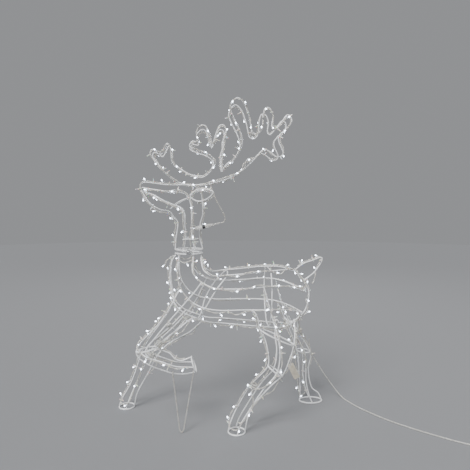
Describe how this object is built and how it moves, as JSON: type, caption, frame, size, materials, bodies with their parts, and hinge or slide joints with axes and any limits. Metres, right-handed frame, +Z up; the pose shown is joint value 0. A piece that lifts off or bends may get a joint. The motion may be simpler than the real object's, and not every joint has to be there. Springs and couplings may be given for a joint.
{
  "type": "light up yard reindeer",
  "caption": "Standing wire-frame reindeer garden light: welded coated wire body, legs, head and flat antlers wrapped with clear LED string cable, on an outdoor power lead.",
  "frame": {"origin": "on the ground under the middle of the deer, measured without the loose power lead", "axes": "+Z up, -X is the way the deer faces, +Y its right side"},
  "size_m": [1.2733, 0.4521, 1.0338],
  "materials": {
    "white_wire": "glossy white coating on 4 mm steel wire, small weld beads at the crossings",
    "plated_steel": "zinc-plated, slightly dull",
    "clear_cable": "clear soft PVC over fine tinned strands",
    "led_lamp": "clear lamp in a milky sleeve, lit cold white",
    "white_plastic": "moulded, satin",
    "black_plastic": "moulded, satin",
    "tag_film": "thin blank film tag"
  },
  "bodies": {
    "frame": {"adapter_gland": "black_plastic", "adapter_plug": "black_plastic", "back_wire_left": "white_wire", "back_wire_right": "white_wire", "belly_wire_left": "white_wire", "belly_wire_right": "white_wire", "body_lights_left": "clear_cable", "body_lights_right": "clear_cable", "cable_tag": "tag_film", "collar_ring": "white_wire", "flank_wire_left": "white_wire", "flank_wire_right": "white_wire", "front_left_hip_bolt": "plated_steel", "front_left_leg": "white_wire", "front_left_leg_lights": "clear_cable", "front_rib": "white_wire", "front_right_hip_bolt": "plated_steel", "front_right_leg": "white_wire", "front_right_leg_lights": "clear_cable", "lead_coil": "clear_cable", "lead_gland": "white_plastic", "neck_feed_cable": "clear_cable", "power_lead": "clear_cable", "rear_left_hip_bolt": "plated_steel", "rear_left_leg": "white_wire", "rear_left_leg_lights": "clear_cable", "rear_rib": "white_wire", "rear_right_hip_bolt": "plated_steel", "rear_right_leg": "white_wire", "rear_right_leg_lights": "clear_cable", "rump_arc": "white_wire", "shoulder_wire_left": "white_wire", "shoulder_wire_right": "white_wire", "tail_loop": "white_wire"},
    "head": {"neck_ring": "white_wire", "head_outline_wire": "white_wire", "cheek_wire_left": "white_wire", "cheek_wire_right": "white_wire", "brow_wire_left": "white_wire", "brow_wire_right": "white_wire", "ear_loop_left": "white_wire", "ear_loop_right": "white_wire", "neck_bar_left": "white_wire", "neck_bar_right": "white_wire", "antler_left": "white_wire", "antler_right": "white_wire", "antler_lights_left": "clear_cable", "antler_lights_right": "clear_cable", "head_lights": "clear_cable", "cheek_strut": "white_wire", "neck_bolt_left": "plated_steel", "neck_bolt_right": "plated_steel", "connector_socket": "white_plastic", "plug_lead": "clear_cable"},
    "plug": {"connector_plug": "black_plastic", "plug_sleeve": "clear_cable"},
    "coupling_nut": {"connector_nut": "white_plastic"},
    "prop": {"ground_prop": "plated_steel"},
    "left_wing_nut": {"neck_wing_nut_left": "plated_steel"},
    "right_wing_nut": {"neck_wing_nut_right": "plated_steel"}
  },
  "joints": [
    {"name": "head_lift", "type": "slide", "parent": "frame", "child": "head", "axis": [0, 0, 1], "range_m": [0, 0.06], "deforming": ["neck_feed_cable"]},
    {"name": "plug_pull", "type": "slide", "parent": "head", "child": "plug", "axis": [0.972, 0, 0.235], "range_m": [0, 0.025], "deforming": ["plug_lead"]},
    {"name": "coupling_nut_spin", "type": "hinge", "parent": "head", "child": "coupling_nut", "pos_m": [-0.075, -0.0215, 0.63], "axis": [0.972, 0, 0.235], "continuous": true},
    {"name": "prop_swing", "type": "hinge", "parent": "frame", "child": "prop", "pos_m": [-0.16, -0.095, 0.188], "axis": [0.9999, 0, 0.0113], "range_deg": [-90, 90]},
    {"name": "left_wing_nut_spin", "type": "hinge", "parent": "head", "child": "left_wing_nut", "pos_m": [-0.1115, -0.0511, 0.554], "axis": [0, 1, 0], "continuous": true},
    {"name": "right_wing_nut_spin", "type": "hinge", "parent": "head", "child": "right_wing_nut", "pos_m": [-0.1115, 0.0411, 0.554], "axis": [0, 1, 0], "continuous": true}
  ]
}
